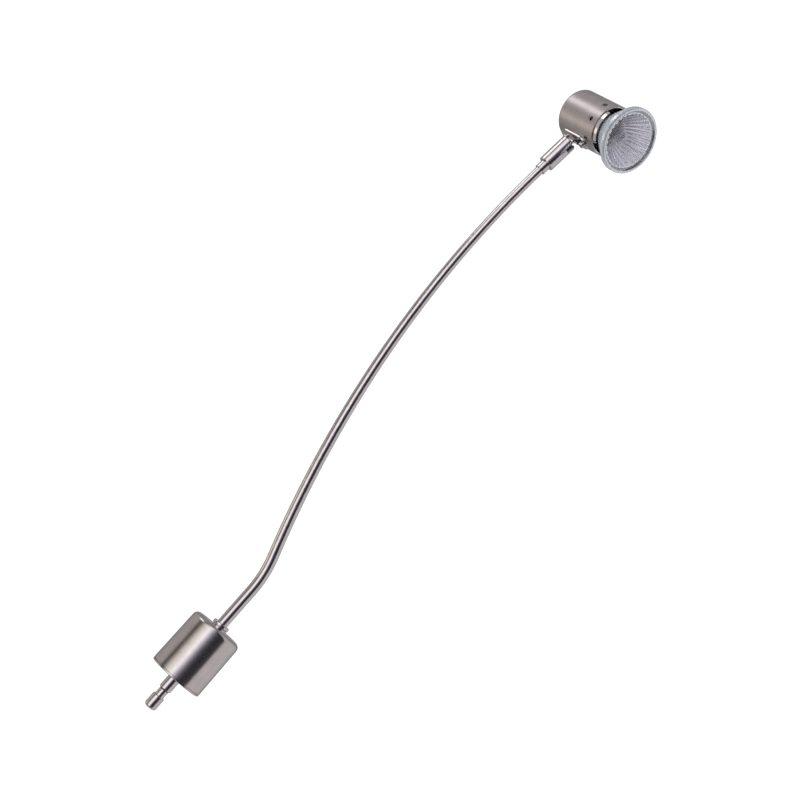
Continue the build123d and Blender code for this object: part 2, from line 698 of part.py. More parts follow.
# ---------------------------------------------------------------- lamp can
with BuildPart() as lamp_can:
    with BuildSketch(lamp_plane.offset(CAN_REAR)):
        Circle(CAN_R)
    extrude(amount=CAN_FRONT - CAN_REAR)
    rear_edge = lamp_can.edges().filter_by(GeomType.CIRCLE).sort_by(lamp_axis)[0]
    fillet(rear_edge, CAN_EDGE)
    offset(amount=-CAN_WALL, openings=lamp_can.faces().sort_by(lamp_axis)[-1])
    for k in range(VENT_COUNT):
        with BuildSketch(radial_plane((k + 0.5) * 360 / VENT_COUNT, VENT_Z, CAN_R - 3)):
            Circle(VENT_R)
        extrude(amount=5, mode=Mode.SUBTRACT)
    for z in BRACKET_SCREWS:
        with BuildSketch(radial_plane(0, z, CAN_R - 3)):
            Circle(BRACKET_SCREW_R + FIT_GAP)
        extrude(amount=5, mode=Mode.SUBTRACT)
    with BuildSketch(radial_plane(0, GROMMET_Z, CAN_R - 3)):
        Circle(GROMMET_R + FIT_GAP)
    extrude(amount=5, mode=Mode.SUBTRACT)
save(lamp_can.part, "lamp_can")

with BuildPart() as retaining_ring:
    with BuildSketch(lamp_plane.offset(RING_BACK)):
        Circle(RING_R)
        Circle(RING_R - RING_WALL, mode=Mode.SUBTRACT)
    extrude(amount=RING_FRONT - RING_BACK)
    for k in range(NOTCH_COUNT):
        angle = k * 360 / NOTCH_COUNT
        notch_plane = turned(lamp_plane.offset(CAN_FRONT - 0.6), angle - NOTCH_DEG / 2)
        with BuildSketch(notch_plane):
            with BuildLine():
                edge = CenterArc((0, 0), RING_R + 2, 0, NOTCH_DEG)
                Line((0, 0), edge @ 0)
                Line((0, 0), edge @ 1)
            make_face()
        extrude(amount=10, mode=Mode.SUBTRACT)
    for k in range(VENT_COUNT):
        with BuildSketch(radial_plane((k + 0.5) * 360 / VENT_COUNT, VENT_Z, CAN_R - 3)):
            Circle(VENT_R - 0.3)
        extrude(amount=5, mode=Mode.SUBTRACT)
save(retaining_ring.part, "retaining_ring")

# ---------------------------------------------------------------- lamp holder
HOLDER_HALF_X = 4.5
HOLDER_HALF_Y = 8.5
HOLDER_SCREW_Y = 6.0
CONTACT_R = 1.4
HOLDER_SCREW_R = 1.0
HOLDER_SCREW_HEAD_R = 1.9
with BuildPart() as lamp_holder:
    with BuildSketch(lamp_plane.offset(HOLDER_REAR)):
        RectangleRounded(2 * HOLDER_HALF_X, 2 * HOLDER_HALF_Y, 2.0)
    extrude(amount=HOLDER_FRONT - HOLDER_REAR)
    with BuildSketch(lamp_plane.offset(HOLDER_FRONT)):
        with Locations((0, PIN_HALF_GAP), (0, -PIN_HALF_GAP)):
            Circle(CONTACT_R + FIT_GAP)
    extrude(amount=-10, mode=Mode.SUBTRACT)
    with BuildSketch(lamp_plane.offset(HOLDER_REAR)):
        with Locations((0, HOLDER_SCREW_Y), (0, -HOLDER_SCREW_Y)):
            Circle(HOLDER_SCREW_R + FIT_GAP)
    extrude(amount=7, mode=Mode.SUBTRACT)
save(lamp_holder.part, "lamp_holder")

with BuildPart() as socket_contacts:
    with BuildSketch(lamp_plane.offset(HOLDER_FRONT - 9.6)):
        with Locations((0, PIN_HALF_GAP), (0, -PIN_HALF_GAP)):
            Circle(CONTACT_R)
            Circle(PIN_R + 0.08, mode=Mode.SUBTRACT)
    extrude(amount=8.8)
save(socket_contacts.part, "socket_contacts")

CLAMP_HALF = 4.4
with BuildPart() as holder_clamp:
    with BuildSketch(lamp_plane.offset(HOLDER_REAR - CLAMP_THICK)):
        with Locations(((CLAMP_OUTER - HOLDER_HALF_X) / 2, 0)):
            Rectangle(CLAMP_OUTER + HOLDER_HALF_X, 2 * CLAMP_HALF)
        Rectangle(2 * HOLDER_HALF_X, 2 * HOLDER_HALF_Y)
    extrude(amount=CLAMP_THICK)
    with BuildSketch(lamp_plane.offset(HOLDER_REAR - CLAMP_THICK)):
        with Locations((CLAMP_OUTER - CLAMP_THICK / 2, 0)):
            Rectangle(CLAMP_THICK, 2 * CLAMP_HALF)
    extrude(amount=8.2)
    with BuildSketch(radial_plane(0, BRACKET_SCREWS[0], HEAD_REACH)):
        Circle(BRACKET_SCREW_R + FIT_GAP)
    extrude(amount=HEAD_CUT, mode=Mode.SUBTRACT)
    with BuildSketch(lamp_plane.offset(HOLDER_REAR - 2)):
        with Locations((0, HOLDER_SCREW_Y), (0, -HOLDER_SCREW_Y)):
            Circle(HOLDER_SCREW_R + FIT_GAP)
    extrude(amount=4, mode=Mode.SUBTRACT)
save(holder_clamp.part, "holder_clamp")

with BuildPart() as holder_screws:
    with BuildSketch(lamp_plane.offset(HOLDER_REAR - CLAMP_THICK)):
        with Locations((0, HOLDER_SCREW_Y), (0, -HOLDER_SCREW_Y)):
            Circle(HOLDER_SCREW_HEAD_R)
    extrude(amount=-1.3)
    with BuildSketch(lamp_plane.offset(HOLDER_REAR - CLAMP_THICK)):
        with Locations((0, HOLDER_SCREW_Y), (0, -HOLDER_SCREW_Y)):
            Circle(HOLDER_SCREW_R)
    extrude(amount=7)
save(holder_screws.part, "holder_screws")

HEAD_LEAD_R = 1.0
HEAD_LEAD_Z = -1.0
HEAD_LEAD_OUT = 10.5
with BuildPart() as head_lead:
    with BuildLine(profile_plane):
        head_run = FilletPolyline(
            (HOLDER_HALF_X, HEAD_LEAD_Z),
            (HEAD_LEAD_OUT, HEAD_LEAD_Z),
            (HEAD_LEAD_OUT, GROMMET_Z),
            (SADDLE_OUTER + 1.2, GROMMET_Z),
            radius=2.6,
        )
    with BuildSketch(radial_plane(0, HEAD_LEAD_Z, HOLDER_HALF_X)):
        Circle(HEAD_LEAD_R)
    sweep(path=head_run)
save(head_lead.part, "head_lead")

with BuildPart() as lead_grommet:
    with BuildSketch(radial_plane(0, GROMMET_Z, CAN_R - CAN_WALL - 1.0)):
        Circle(GROMMET_R)
    extrude(amount=SADDLE_THICK + CAN_WALL + 1.9)
    with BuildSketch(radial_plane(0, GROMMET_Z, CAN_R - CAN_WALL - 1.0)):
        Circle(GROMMET_INNER_R)
    extrude(amount=GROMMET_FLANGE)
    with BuildSketch(radial_plane(0, GROMMET_Z, SADDLE_OUTER)):
        Circle(GROMMET_OUTER_R)
    extrude(amount=GROMMET_FLANGE)
    with BuildSketch(radial_plane(0, GROMMET_Z, HEAD_REACH)):
        Circle(HEAD_LEAD_R + FIT_GAP)
    extrude(amount=HEAD_CUT, mode=Mode.SUBTRACT)
save(lead_grommet.part, "lead_grommet")

# ---------------------------------------------------------------- lamp
LIP_BACK = LAMP_FRONT - LAMP_LIP
SEAT_FLOOR = LAMP_FRONT - GLASS_SEAT
OUTER_BULGE = (15.9, 27.3)
INNER_BULGE = (14.4, 28.5)
with BuildPart() as lamp_reflector:
    with BuildSketch(profile_plane):
        with BuildLine():
            Line((LAMP_NECK_R - LAMP_WALL, LAMP_REAR), (LAMP_NECK_R, LAMP_REAR))
            ThreePointArc((LAMP_NECK_R, LAMP_REAR), OUTER_BULGE, (LAMP_CONE_R, LIP_BACK))
            Line((LAMP_CONE_R, LIP_BACK), (LAMP_R - LAMP_EDGE, LIP_BACK))
            Line((LAMP_R - LAMP_EDGE, LIP_BACK), (LAMP_R, LIP_BACK + LAMP_EDGE))
            Line((LAMP_R, LIP_BACK + LAMP_EDGE), (LAMP_R, LAMP_FRONT - LAMP_EDGE))
            Line((LAMP_R, LAMP_FRONT - LAMP_EDGE), (LAMP_R - LAMP_EDGE, LAMP_FRONT))
            Line((LAMP_R - LAMP_EDGE, LAMP_FRONT), (GLASS_SEAT_R, LAMP_FRONT))
            Line((GLASS_SEAT_R, LAMP_FRONT), (GLASS_SEAT_R, SEAT_FLOOR))
            Line((GLASS_SEAT_R, SEAT_FLOOR), (MIRROR_R, SEAT_FLOOR))
            ThreePointArc(
                (MIRROR_R, SEAT_FLOOR), INNER_BULGE, (LAMP_NECK_R - LAMP_WALL, LAMP_REAR)
            )
        make_face()
    revolve(axis=lamp_axis)
save(lamp_reflector.part, "lamp_reflector")

with BuildPart() as lamp_front_glass:
    with BuildSketch(lamp_plane.offset(SEAT_FLOOR + FIT_GAP)):
        Circle(GLASS_R)
    extrude(amount=GLASS_THICK)
save(lamp_front_glass.part, "lamp_front_glass")

BASE_BACK = 6.2
with BuildPart() as lamp_base:
    with BuildSketch(lamp_plane.offset(BASE_BACK)):
        RectangleRounded(8.4, 15.0, 2.4)
    extrude(amount=LAMP_REAR - BASE_BACK)
    with BuildSketch(lamp_plane.offset(LAMP_REAR - 1)):
        Circle(LAMP_NECK_R - LAMP_WALL - 0.15)
    extrude(amount=3.4)
    with BuildSketch(lamp_plane.offset(BASE_BACK)):
        with Locations((0, PIN_HALF_GAP), (0, -PIN_HALF_GAP)):
            Circle(PIN_R)
    extrude(amount=4, mode=Mode.SUBTRACT)
save(lamp_base.part, "lamp_base")

with BuildPart() as lamp_pins:
    with BuildSketch(lamp_plane.offset(PIN_END)):
        with Locations((0, PIN_HALF_GAP), (0, -PIN_HALF_GAP)):
            Circle(PIN_R)
    extrude(amount=BASE_BACK + 4 - PIN_END)
save(lamp_pins.part, "lamp_pins")

CAPSULE_R = 4.6
CAPSULE_WALL = 0.8
CAPSULE_LOW = LAMP_REAR + 2.4
CAPSULE_SHOULDER = 34.0
CAPSULE_FLOOR = CAPSULE_LOW + 5.0
CAPSULE_BORE_R = 0.9
with BuildPart() as lamp_capsule:
    with BuildSketch(profile_plane):
        with BuildLine():
            Line((CAPSULE_BORE_R, CAPSULE_LOW), (CAPSULE_R, CAPSULE_LOW))
            Line((CAPSULE_R, CAPSULE_LOW), (CAPSULE_R, CAPSULE_SHOULDER))
            CenterArc((0, CAPSULE_SHOULDER), CAPSULE_R, 0, 90)
            Line((0, CAPSULE_SHOULDER + CAPSULE_R), (0, CAPSULE_SHOULDER + CAPSULE_R - CAPSULE_WALL))
            CenterArc((0, CAPSULE_SHOULDER), CAPSULE_R - CAPSULE_WALL, 0, 90)
            Line(
                (CAPSULE_R - CAPSULE_WALL, CAPSULE_SHOULDER),
                (CAPSULE_R - CAPSULE_WALL, CAPSULE_FLOOR),
            )
            Line((CAPSULE_R - CAPSULE_WALL, CAPSULE_FLOOR), (CAPSULE_BORE_R, CAPSULE_FLOOR))
            Line((CAPSULE_BORE_R, CAPSULE_FLOOR), (CAPSULE_BORE_R, CAPSULE_LOW))
        make_face()
    revolve(axis=lamp_axis)
save(lamp_capsule.part, "lamp_capsule")

FILAMENT_UP = 8.6
with BuildPart() as lamp_filament:
    with BuildSketch(lamp_plane.offset(CAPSULE_LOW)):
        Circle(0.4)
    extrude(amount=FILAMENT_UP)
    with BuildSketch(Plane(origin=lamp_origin, x_dir=lamp_plane.x_dir, z_dir=lamp_plane.y_dir)):
        with Locations((0, -(CAPSULE_LOW + FILAMENT_UP))):
            Circle(0.8)
    extrude(amount=2.5, both=True)
save(lamp_filament.part, "lamp_filament")


def triple(vector, digits):
    """The vector's three numbers, rounded."""
    return [round(value, digits) for value in (vector.X, vector.Y, vector.Z)]


print("swivel axis", triple(swivel_axis, 6), "through", triple(stem_end, 3))
print("pivot axis", triple(sleeve_plane.y_dir, 6), "through", triple(pivot_point, 3))
print("lamp axis", triple(lamp_plane.z_dir, 6), "through", triple(lamp_origin, 3))
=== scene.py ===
"""Arm spotlight with a plug-in base: looks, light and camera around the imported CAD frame."""
import json
import math

import bpy
from mathutils import Matrix, Vector


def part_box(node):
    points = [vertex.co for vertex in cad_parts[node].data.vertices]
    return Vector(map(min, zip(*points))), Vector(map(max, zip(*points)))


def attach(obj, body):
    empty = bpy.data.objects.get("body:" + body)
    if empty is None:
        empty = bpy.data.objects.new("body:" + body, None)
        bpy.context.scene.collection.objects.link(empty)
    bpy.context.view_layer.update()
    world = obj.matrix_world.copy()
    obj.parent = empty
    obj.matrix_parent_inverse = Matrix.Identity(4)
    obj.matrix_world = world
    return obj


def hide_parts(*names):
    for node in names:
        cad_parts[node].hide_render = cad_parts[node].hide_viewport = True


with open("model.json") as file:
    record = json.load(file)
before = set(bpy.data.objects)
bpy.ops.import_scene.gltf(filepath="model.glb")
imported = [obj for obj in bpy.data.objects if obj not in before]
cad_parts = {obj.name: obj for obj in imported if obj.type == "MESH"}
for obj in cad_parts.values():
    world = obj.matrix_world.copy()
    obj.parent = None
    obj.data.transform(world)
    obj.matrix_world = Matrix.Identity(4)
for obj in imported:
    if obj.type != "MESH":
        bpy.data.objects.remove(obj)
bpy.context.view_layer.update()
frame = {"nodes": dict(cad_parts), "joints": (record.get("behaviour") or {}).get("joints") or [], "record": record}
nodes = frame["nodes"]
joints = {joint["name"]: joint for joint in frame["joints"]}

MM = 0.001


# ------------------------------------------------------------------ places from the frame
def middle(node):
    """Centre of a node's box."""
    low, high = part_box(node)
    return (low + high) / 2


def axis_frame(origin, z_axis, towards):
    """Matrix of a local frame: z along an axis, x from the origin towards a point."""
    z = Vector(z_axis).normalized()
    x = (Vector(towards) - origin)
    x = (x - z * x.dot(z)).normalized()
    y = z.cross(x)
    matrix = Matrix((x, y, z)).transposed().to_4x4()
    matrix.translation = origin
    return matrix


LAMP_GLASS_BACK = 1.15 * MM
lamp_direction = Vector(joints["lamp_pull"]["axis"]).normalized()
lamp_front = middle("lamp_front_glass") + lamp_direction * LAMP_GLASS_BACK
LAMP = axis_frame(lamp_front, lamp_direction, joints["head_tilt"]["pos_m"])
PLUG = Matrix.Identity(4)


# ------------------------------------------------------------------ shader helpers
def add_node(material, kind, **settings):
    """A new shader node with some of its settings filled in."""
    node = material.node_tree.nodes.new(kind)
    for name, value in settings.items():
        setattr(node, name, value)
    return node


def surface(name, colour, roughness, metallic=0.0, **sockets):
    """A material with a Principled surface whose constant values sit on its own sockets."""
    material = bpy.data.materials.new(name)
    material.use_nodes = True
    shader = material.node_tree.nodes["Principled BSDF"]
    shader.inputs["Base Color"].default_value = (*colour, 1.0)
    shader.inputs["Roughness"].default_value = roughness
    shader.inputs["Metallic"].default_value = metallic
    for socket, value in sockets.items():
        shader.inputs[socket.replace("_", " ")].default_value = value
    return material, shader


def noise(material, matrix, scale, detail=3.0, roughness=0.6):
    """Noise read in the local frame of a matrix, with a scale for each local axis, per metre."""
    tree = material.node_tree
    coordinates = add_node(material, "ShaderNodeTexCoord")
    mapping = add_node(material, "ShaderNodeMapping", vector_type="POINT")
    inverse = matrix.inverted()
    mapping.inputs["Rotation"].default_value = inverse.to_euler()
    mapping.inputs["Location"].default_value = inverse.translation
    stretch = add_node(material, "ShaderNodeMapping", vector_type="POINT")
    stretch.inputs["Scale"].default_value = scale
    texture = add_node(material, "ShaderNodeTexNoise")
    texture.inputs["Scale"].default_value = 1.0
    texture.inputs["Detail"].default_value = detail
    texture.inputs["Roughness"].default_value = roughness
    tree.links.new(coordinates.outputs["Object"], mapping.inputs["Vector"])
    tree.links.new(mapping.outputs["Vector"], stretch.inputs["Vector"])
    tree.links.new(stretch.outputs["Vector"], texture.inputs["Vector"])
    return texture.outputs["Fac"]


def vary(material, factor, low, high, socket):
    """Drive a shader's number from a 0 to 1 factor, between two values."""
    spread = add_node(material, "ShaderNodeMapRange")
    spread.inputs["From Min"].default_value = 0.3
    spread.inputs["From Max"].default_value = 0.7
    spread.inputs["To Min"].default_value = low
    spread.inputs["To Max"].default_value = high
    material.node_tree.links.new(factor, spread.inputs["Value"])
    material.node_tree.links.new(spread.outputs["Result"], socket)


def tint(material, factor, dark, light, socket):
    """Drive a colour from a factor, between two colours."""
    ramp = add_node(material, "ShaderNodeValToRGB")
    ramp.color_ramp.elements[0].position = 0.3
    ramp.color_ramp.elements[0].color = (*dark, 1.0)
    ramp.color_ramp.elements[1].position = 0.7
    ramp.color_ramp.elements[1].color = (*light, 1.0)
    material.node_tree.links.new(factor, ramp.inputs["Fac"])
    material.node_tree.links.new(ramp.outputs["Color"], socket)


def roughen(material, shader, factor, strength, distance):
    """Bump from a factor."""
    bump = add_node(material, "ShaderNodeBump")
    bump.inputs["Strength"].default_value = strength
    bump.inputs["Distance"].default_value = distance
    material.node_tree.links.new(factor, bump.inputs["Height"])
    material.node_tree.links.new(bump.outputs["Normal"], shader.inputs["Normal"])


# ------------------------------------------------------------------ materials
TURNED = (25.0, 25.0, 5200.0)
DRAWN = (4200.0, 4200.0, 18.0)


def metal(name, matrix, dark, light, roughness, grain, bump, blotch=160.0):
    """Metal with fine grain, uneven roughness and slow changes of tone."""
    material, shader = surface(name, light, roughness[0], metallic=1.0)
    lines = noise(material, matrix, grain, detail=4.0, roughness=0.7)
    slow = noise(material, matrix, (blotch,) * 3, detail=5.0)
    vary(material, lines, roughness[0], roughness[1], shader.inputs["Roughness"])
    tint(material, slow, dark, light, shader.inputs["Base Color"])
    roughen(material, shader, lines, bump, 0.00004)
    return material


def plastic(name, colour, darker, roughness):
    """Moulded plastic or rubber with a fine skin texture."""
    material, shader = surface(name, colour, roughness)
    grain = noise(material, PLUG, (2600.0,) * 3)
    slow = noise(material, PLUG, (240.0,) * 3)
    vary(material, slow, roughness - 0.08, roughness + 0.08, shader.inputs["Roughness"])
    tint(material, slow, darker, colour, shader.inputs["Base Color"])
    roughen(material, shader, grain, 0.25, 0.00005)
    return material


def clear_glass(name, colour, roughness):
    """Clear glass with a slight waviness."""
    material, shader = surface(
        name, colour, roughness, Transmission_Weight=1.0, IOR=1.47
    )
    wave = noise(material, LAMP, (180.0,) * 3, detail=2.0)
    roughen(material, shader, wave, 0.05, 0.0002)
    return material


def lip_glass():
    """Pressed glass of the reflector's rim: bluish, with a soft frosted skin."""
    material, shader = surface(
        "pressed_glass", (0.34, 0.38, 0.43), 0.22, Transmission_Weight=0.35, IOR=1.5
    )
    slow = noise(material, LAMP, (420.0,) * 3)
    fine = noise(material, LAMP, (1500.0,) * 3)
    tint(material, slow, (0.28, 0.32, 0.38), (0.42, 0.46, 0.51), shader.inputs["Base Color"])
    vary(material, slow, 0.12, 0.34, shader.inputs["Roughness"])
    roughen(material, shader, fine, 0.18, 0.0001)
    return material


def mirror_coat():
    """Dichroic mirror on the inside of the reflector."""
    material, shader = surface("dichroic_mirror", (0.90, 0.92, 0.98), 0.05, metallic=1.0)
    slow = noise(material, LAMP, (130.0,) * 3)
    fine = noise(material, LAMP, (900.0,) * 3)
    tint(material, slow, (0.86, 0.87, 0.93), (0.97, 0.96, 0.96), shader.inputs["Base Color"])
    vary(material, fine, 0.02, 0.08, shader.inputs["Roughness"])
    return material


def make_materials():
    """One material for each material slot of the record."""
    made = {
        "brushed_nickel": metal(
            "brushed_nickel", PLUG, (0.53, 0.51, 0.495), (0.60, 0.58, 0.565),
            (0.14, 0.24), TURNED, 0.25,
        ),
        "satin_nickel": metal(
            "satin_nickel", LAMP, (0.52, 0.49, 0.48), (0.60, 0.57, 0.56),
            (0.28, 0.42), TURNED, 0.35,
        ),
        "polished_nickel": metal(
            "polished_nickel", PLUG, (0.57, 0.55, 0.55), (0.65, 0.63, 0.63),
            (0.10, 0.18), DRAWN, 0.12,
        ),
        "bright_chrome": metal(
            "bright_chrome", LAMP, (0.78, 0.76, 0.76), (0.88, 0.86, 0.86),
            (0.06, 0.14), (700.0,) * 3, 0.3,
        ),
        "zinc_steel": metal(
            "zinc_steel", LAMP, (0.50, 0.50, 0.49), (0.64, 0.64, 0.62),
            (0.18, 0.34), (900.0,) * 3, 0.2,
        ),
        "brass": metal(
            "brass", PLUG, (0.60, 0.43, 0.17), (0.78, 0.60, 0.28), (0.18, 0.34), TURNED, 0.2
        ),
        "tungsten": metal(
            "tungsten", LAMP, (0.20, 0.19, 0.19), (0.34, 0.33, 0.32),
            (0.3, 0.45), (3000.0,) * 3, 0.2,
        ),
        "black_plastic": plastic("black_plastic", (0.035, 0.034, 0.033), (0.02, 0.02, 0.02), 0.5),
        "white_plastic": plastic("white_plastic", (0.80, 0.79, 0.75), (0.68, 0.67, 0.63), 0.45),
        "rubber": plastic("rubber", (0.03, 0.03, 0.03), (0.018, 0.018, 0.018), 0.7),
        "silicone_lead": plastic("silicone_lead", (0.70, 0.69, 0.66), (0.6, 0.59, 0.56), 0.55),
        "white_ceramic": plastic("white_ceramic", (0.80, 0.78, 0.72), (0.66, 0.63, 0.57), 0.62),
        "mirror_glass": lip_glass(),
        "clear_glass": clear_glass("clear_glass", (0.96, 0.98, 1.0), 0.01),
    }
    return made


def dress_cad_nodes(made):
    """Give every CAD node the material of its slot."""
    for entry in frame["record"]["subparts"]:
        mesh_slots = nodes[entry["node"]].material_slots
        for mesh_slot in mesh_slots:
            mesh_slot.material = made[entry["material_slot"]]
    for mesh_slot in nodes["retaining_ring"].material_slots:
        mesh_slot.material = made["bright_chrome"]


# ------------------------------------------------------------------ mesh helpers
def mesh_piece(name, points, faces, matrix, material, body, smooth_angle=32.0):
    """A mesh piece given in the millimetres of a local frame, riding on a body."""
    mesh = bpy.data.meshes.new(name)
    mesh.from_pydata([matrix @ (Vector(point) * MM) for point in points], [], faces)
    mesh.validate()
    mesh.polygons.foreach_set("use_smooth", [True] * len(mesh.polygons))
    mesh.set_sharp_from_angle(angle=math.radians(smooth_angle))
    mesh.materials.append(material)
    piece = bpy.data.objects.new(name, mesh)
    bpy.context.scene.collection.objects.link(piece)
    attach(piece, body)
    return piece


def grid_faces(rows, columns):
    """Quads that close a grid of points round its columns and back from its last row."""
    faces = []
    for i in range(rows):
        for j in range(columns):
            right = (j + 1) % columns
            below = (i + 1) % rows
            faces.append(
                (i * columns + j, i * columns + right, below * columns + right, below * columns + j)
            )
    return faces


# ------------------------------------------------------------------ lamp
FLUTES = 32
FLUTE_DEPTH = 1.0
RIM_R = 25.0
RIM_EDGE = 1.1
RIM_BACK = -4.4
DIMPLE_ROWS = 15
DIMPLE_HEIGHT = 0.176
OUTER_STEPS = 90
MIRROR_STEPS = 40
SHELL_STEPS = 384
DIMPLES_ROUND = 48


def arc_points(start, through, end, count):
    """Points on the circle through three points, from start to end."""
    ax, ay = start
    bx, by = through
    cx, cy = end
    d = 2 * (ax * (by - cy) + bx * (cy - ay) + cx * (ay - by))
    a_far = ax**2 + ay**2
    b_far = bx**2 + by**2
    c_far = cx**2 + cy**2
    ux = (a_far * (by - cy) + b_far * (cy - ay) + c_far * (ay - by)) / d
    uy = (a_far * (cx - bx) + b_far * (ax - cx) + c_far * (bx - ax)) / d
    radius = math.hypot(ax - ux, ay - uy)
    first = math.atan2(ay - uy, ax - ux)
    last = math.atan2(cy - uy, cx - ux)
    turn = (last - first + math.pi) % (2 * math.pi) - math.pi
    return [
        (
            ux + radius * math.cos(first + turn * i / (count - 1)),
            uy + radius * math.sin(first + turn * i / (count - 1)),
        )
        for i in range(count)
    ]


def lip_profile():
    """Outer edge of the rim, as points of radius and height behind the front plane."""
    turns = [step * math.pi / 12 for step in range(7)]
    inner = RIM_R - RIM_EDGE
    front = [
        (inner + RIM_EDGE * math.sin(turn), -RIM_EDGE + RIM_EDGE * math.cos(turn))
        for turn in turns
    ]
    back = [
        (inner + RIM_EDGE * math.cos(turn), RIM_BACK + RIM_EDGE - RIM_EDGE * math.sin(turn))
        for turn in turns
    ]
    return front + back


def build_reflector(made):
    """Reflector: a pressed glass shell with dimples outside, a thick rim and a fluted mirror."""
    outer = arc_points((22.9, RIM_BACK), (15.9, -17.6), (7.4, -27.0), OUTER_STEPS)
    inner = arc_points((5.8, -27.0), (14.4, -16.4), (21.2, -2.0), 30)
    profile = [(22.6, -2.0), (22.6, -0.25), (22.9, 0.0), (23.4, 0.0)] + lip_profile()
    profile += outer + inner
    cone_start = 4 + len(lip_profile())
    points = []
    for i, (radius, height) in enumerate(profile):
        along = (i - cone_start) / OUTER_STEPS
        on_cone = 0.0 < along < 1.0
        for j in range(SHELL_STEPS):
            angle = 2 * math.pi * j / SHELL_STEPS
            dimple = 0.0
            if on_cone:
                row = along * DIMPLE_ROWS
                shift = math.pi * (int(row) % 2)
                dimple = DIMPLE_HEIGHT * math.sin(math.pi * (row % 1.0)) * max(
                    0.0, math.sin(DIMPLES_ROUND * angle + shift)
                )
            r = radius + dimple
            points.append((r * math.cos(angle), r * math.sin(angle), height))
    faces = grid_faces(len(profile), SHELL_STEPS)
    shell = mesh_piece(
        "reflector_shell", points, faces, LAMP, made["mirror_glass"], "lamp"
    )
    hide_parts("lamp_reflector")

    rows = MIRROR_STEPS
    steps = FLUTES * 12
    mirror = arc_points((21.0, -2.3), (14.1, -16.5), (5.6, -26.6), rows)
    points = []
    for layer in (0, 1):
        order = mirror if layer == 0 else list(reversed(mirror))
        for i, (radius, height) in enumerate(order):
            from_rim = i / (rows - 1) if layer == 0 else 1 - i / (rows - 1)
            depth = FLUTE_DEPTH * math.sin(math.pi * min(1.0, 0.12 + 0.9 * (1 - from_rim)) * 0.5)
            for j in range(steps):
                angle = 2 * math.pi * j / steps
                scallop = abs(math.sin(FLUTES * angle / 2))
                r = radius - (0.15 + depth * scallop if layer == 0 else -0.02)
                points.append((r * math.cos(angle), r * math.sin(angle), height))
    faces = grid_faces(2 * rows, steps)
    mesh_piece(
        "reflector_mirror", points, faces, LAMP, made["mirror_coat"], "lamp",
        smooth_angle=40.0,
    )


def build_filament(made):
    """Coiled tungsten wire on two legs inside the capsule."""
    turns = 11
    coil_r = 0.62
    length = 4.6
    height = -19.3
    steps = turns * 14
    curve = bpy.data.curves.new("filament_coil", "CURVE")
    curve.dimensions = "3D"
    curve.bevel_depth = 0.13 * MM
    curve.bevel_resolution = 2
    spline = curve.splines.new("POLY")
    route = [(0.0, -length / 2, -27.0), (0.0, -length / 2, height - 1.2)]
    for i in range(steps + 1):
        angle = 2 * math.pi * turns * i / steps
        route.append(
            (
                coil_r * math.sin(angle),
                -length / 2 + length * i / steps,
                height - coil_r * math.cos(angle),
            )
        )
    route += [(0.0, length / 2, height - 1.2), (0.0, length / 2, -27.0)]
    spline.points.add(len(route) - 1)
    for point, place in zip(spline.points, route):
        point.co = (*(LAMP @ (Vector(place) * MM)), 1.0)
    coil = bpy.data.objects.new("filament_coil", curve)
    curve.materials.append(made["tungsten"])
    bpy.context.scene.collection.objects.link(coil)
    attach(coil, "lamp")
    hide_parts("lamp_filament")


# ------------------------------------------------------------------ studio
FLOOR_HALF = 6.0
FLOOR_HEIGHT = -0.7
PANEL_DISTANCE = 1.7
SURROUND_WHITE = (1.12, 1.12, 1.12, 1.0)


def add_floor():
    """Plain pale floor well below the light, which hangs from its plug."""
    corners = ((-1, -1), (1, -1), (1, 1), (-1, 1))
    points = [(FLOOR_HALF * x, FLOOR_HALF * y, FLOOR_HEIGHT) for x, y in corners]
    mesh = bpy.data.meshes.new("floor")
    mesh.from_pydata(points, [], [(0, 1, 2, 3)])
    material, shader = surface("floor_paint", (0.93, 0.93, 0.93), 0.9)
    slow = noise(material, PLUG, (3.0,) * 3)
    tint(material, slow, (0.92, 0.92, 0.92), (0.95, 0.95, 0.95), shader.inputs["Base Color"])
    mesh.materials.append(material)
    floor = bpy.data.objects.new("floor", mesh)
    floor.visible_glossy = False
    floor.visible_transmission = False
    bpy.context.scene.collection.objects.link(floor)


def studio_place(azimuth, distance, height):
    """A point round the object: azimuth 0 is towards the camera, positive to its right."""
    angle = math.radians(CAMERA_AZIMUTH + azimuth)
    return Vector((distance * math.sin(angle), -distance * math.cos(angle), height))


def glow_material(name):
    """Light that leaves a panel, with the brightness painted on the panel."""
    material = bpy.data.materials.new(name)
    material.use_nodes = True
    tree = material.node_tree
    tree.nodes.clear()
    output = add_node(material, "ShaderNodeOutputMaterial")
    emission = add_node(material, "ShaderNodeEmission")
    painted = add_node(material, "ShaderNodeAttribute", attribute_name="glow")
    tree.links.new(painted.outputs["Color"], emission.inputs["Color"])
    tree.links.new(emission.outputs["Emission"], output.inputs["Surface"])
    return material


def add_panel(name, distance, azimuths, heights, colour):
    """A light panel seen only in reflections, soft towards its upper and lower edges."""
    points = []
    glow = []
    low, high = heights
    for row in range(5):
        height = low + (high - low) * row / 4
        share = (0.45, 0.9, 1.0, 0.9, 0.45)[row]
        for azimuth in azimuths:
            points.append(studio_place(azimuth, distance, height))
            glow.append((*(share * part for part in colour), 1.0))
    faces = [(2 * i, 2 * i + 1, 2 * i + 3, 2 * i + 2) for i in range(4)]
    mesh = bpy.data.meshes.new(name)
    mesh.from_pydata(points, [], faces)
    paint = mesh.color_attributes.new("glow", "FLOAT_COLOR", "POINT")
    for item, colour in zip(paint.data, glow):
        item.color = colour
    mesh.materials.append(glow_material(name))
    panel = bpy.data.objects.new(name, mesh)
    panel.visible_camera = False
    panel.visible_diffuse = False
    panel.visible_shadow = False
    bpy.context.scene.collection.objects.link(panel)


